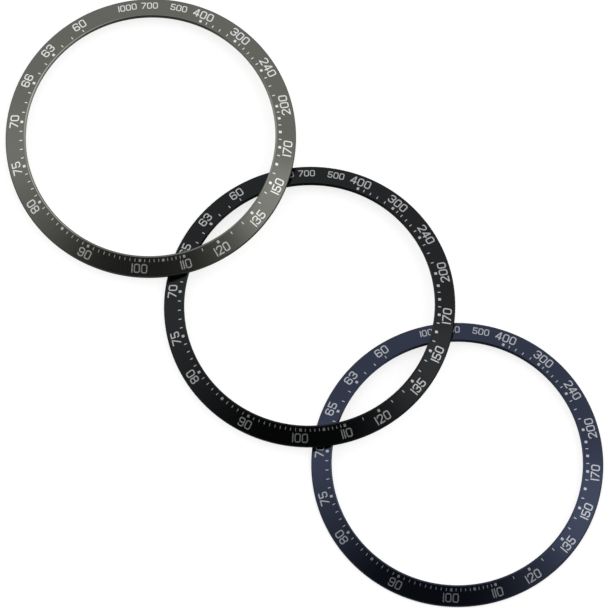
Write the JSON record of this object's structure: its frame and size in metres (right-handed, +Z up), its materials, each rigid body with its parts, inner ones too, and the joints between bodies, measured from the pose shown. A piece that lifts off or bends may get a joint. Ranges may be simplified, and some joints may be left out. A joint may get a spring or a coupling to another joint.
{
  "type": "watch bezel insert set",
  "caption": "Set of flat conical watch bezel inserts with a tachymeter scale, in grey, black and blue anodised aluminium, leaning on each other in a row.",
  "frame": {"origin": "on the surface that the row lies on, under the middle of the row's box", "axes": "+Z up, away from the surface; the row runs from the grey ring at -X +Y to the blue ring at +X -Y; each scale's twelve o'clock faces +Y before the ring is turned"},
  "size_m": [0.08, 0.084, 0.0028],
  "materials": {
    "grey_anodised": "satin anodised aluminium, gunmetal grey, with fine turned lines",
    "black_anodised": "satin anodised aluminium, black, with fine turned lines",
    "blue_anodised": "satin anodised aluminium, dark navy blue, with fine turned lines",
    "silver_print": "thin silver ink film, satin",
    "adhesive_film": "pale translucent pressure-sensitive film, slightly glossy"
  },
  "bodies": {
    "blue_insert": {"blue_ring": "blue_anodised", "blue_adhesive": "adhesive_film", "blue_outward_numbers": "silver_print", "blue_inward_numbers": "silver_print", "blue_high_numbers": "silver_print", "blue_ticks": "silver_print", "blue_square_marks": "silver_print"},
    "black_insert": {"black_ring": "black_anodised", "black_adhesive": "adhesive_film", "black_outward_numbers": "silver_print", "black_inward_numbers": "silver_print", "black_high_numbers": "silver_print", "black_ticks": "silver_print", "black_square_marks": "silver_print"},
    "grey_insert": {"grey_ring": "grey_anodised", "grey_adhesive": "adhesive_film", "grey_outward_numbers": "silver_print", "grey_inward_numbers": "silver_print", "grey_high_numbers": "silver_print", "grey_ticks": "silver_print", "grey_square_marks": "silver_print"}
  },
  "joints": [
    {"name": "black_lift", "type": "slide", "parent": "blue_insert", "child": "black_insert", "axis": [0, 0, 1], "range_m": [0, 0.06]},
    {"name": "grey_lift", "type": "slide", "parent": "black_insert", "child": "grey_insert", "axis": [0, 0, 1], "range_m": [0, 0.06]}
  ]
}
